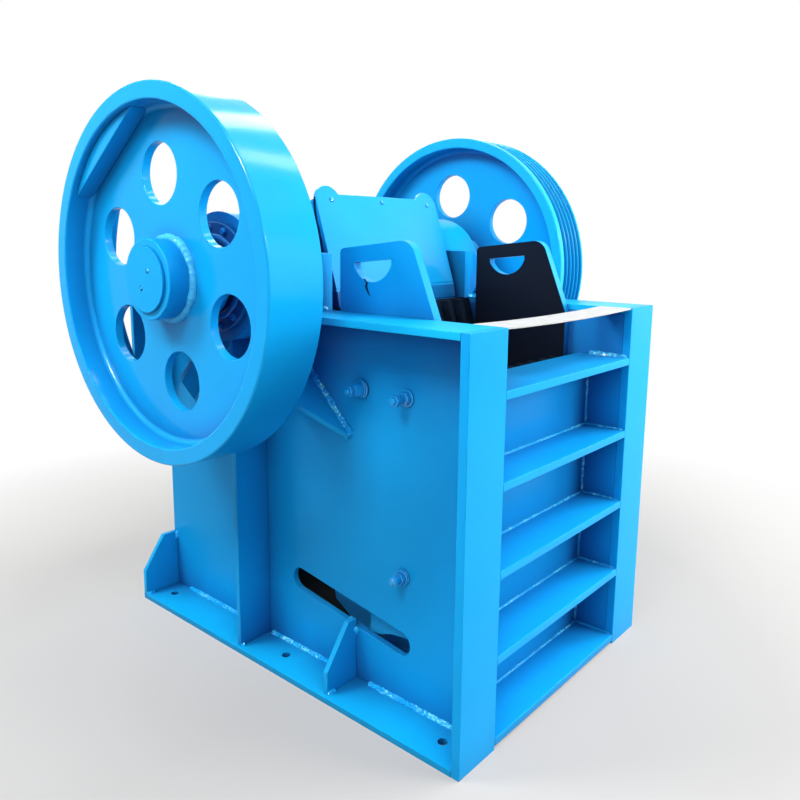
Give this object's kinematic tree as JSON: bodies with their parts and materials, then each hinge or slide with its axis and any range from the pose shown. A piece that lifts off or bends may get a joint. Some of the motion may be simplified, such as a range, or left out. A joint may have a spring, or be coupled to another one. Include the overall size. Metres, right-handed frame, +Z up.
{
  "type": "jaw crusher",
  "caption": "Single-toggle jaw crusher with a welded plate frame, ribbed front wall, swing jaw, flywheel and grooved belt pulley.",
  "frame": {"origin": "centre of the bounding box's bottom, on the floor under the frame", "axes": "+X towards the ribbed front end, -Y towards the plain flywheel, +Y towards the grooved pulley, +Z up"},
  "size_m": [1.342, 1.438, 1.6013],
  "materials": {
    "blue_paint": "satin",
    "cheek_paint": "satin",
    "jaw_steel": "matte",
    "white_band": "matte"
  },
  "bodies": {
    "frame": {"fixed_jaw_plate": "jaw_steel", "flywheel_side_bearing_cover": "blue_paint", "flywheel_side_bearing_housing": "blue_paint", "flywheel_side_braces": "blue_paint", "flywheel_side_cheek_plate": "cheek_paint", "flywheel_side_foot_flange": "blue_paint", "flywheel_side_gussets": "blue_paint", "flywheel_side_plate": "blue_paint", "flywheel_side_post": "blue_paint", "flywheel_side_stiffener": "blue_paint", "flywheel_side_top_flange": "blue_paint", "front_shelves": "blue_paint", "front_wall": "blue_paint", "mouth_strip": "white_band", "pulley_side_bearing_cover": "blue_paint", "pulley_side_bearing_housing": "blue_paint", "pulley_side_braces": "blue_paint", "pulley_side_cheek_plate": "cheek_paint", "pulley_side_foot_flange": "blue_paint", "pulley_side_gussets": "blue_paint", "pulley_side_plate": "blue_paint", "pulley_side_post": "blue_paint", "pulley_side_stiffener": "blue_paint", "pulley_side_top_flange": "blue_paint", "rear_wall": "blue_paint", "rear_wall_ribs": "blue_paint", "tension_rod": "blue_paint", "tension_spring": "blue_paint", "toggle_block": "blue_paint", "toggle_plate": "blue_paint"},
    "rotor": {"eccentric_shaft": "blue_paint", "flywheel_rim": "blue_paint", "flywheel_web": "blue_paint", "flywheel_boss": "blue_paint", "pulley_rim": "blue_paint", "pulley_web": "blue_paint", "pulley_boss": "blue_paint", "flywheel_counterweight": "blue_paint", "pulley_counterweight": "blue_paint", "shaft_end_discs": "blue_paint"},
    "jaw": {"swing_jaw": "blue_paint", "moving_jaw_plate": "jaw_steel", "jaw_wedge": "blue_paint", "jaw_cover": "blue_paint"}
  },
  "joints": [
    {"name": "shaft_spin", "type": "hinge", "parent": "frame", "child": "rotor", "pos_m": [-0.1574, 0, 1.1233], "axis": [0, 1, 0], "continuous": true},
    {"name": "jaw_swing", "type": "hinge", "parent": "rotor", "child": "jaw", "pos_m": [-0.15171, 0, 1.11508], "axis": [0, 1, 0], "continuous": true}
  ],
  "couplings": [
    {"joint": "jaw_swing", "follows": "shaft_spin", "ratio": -1}
  ]
}
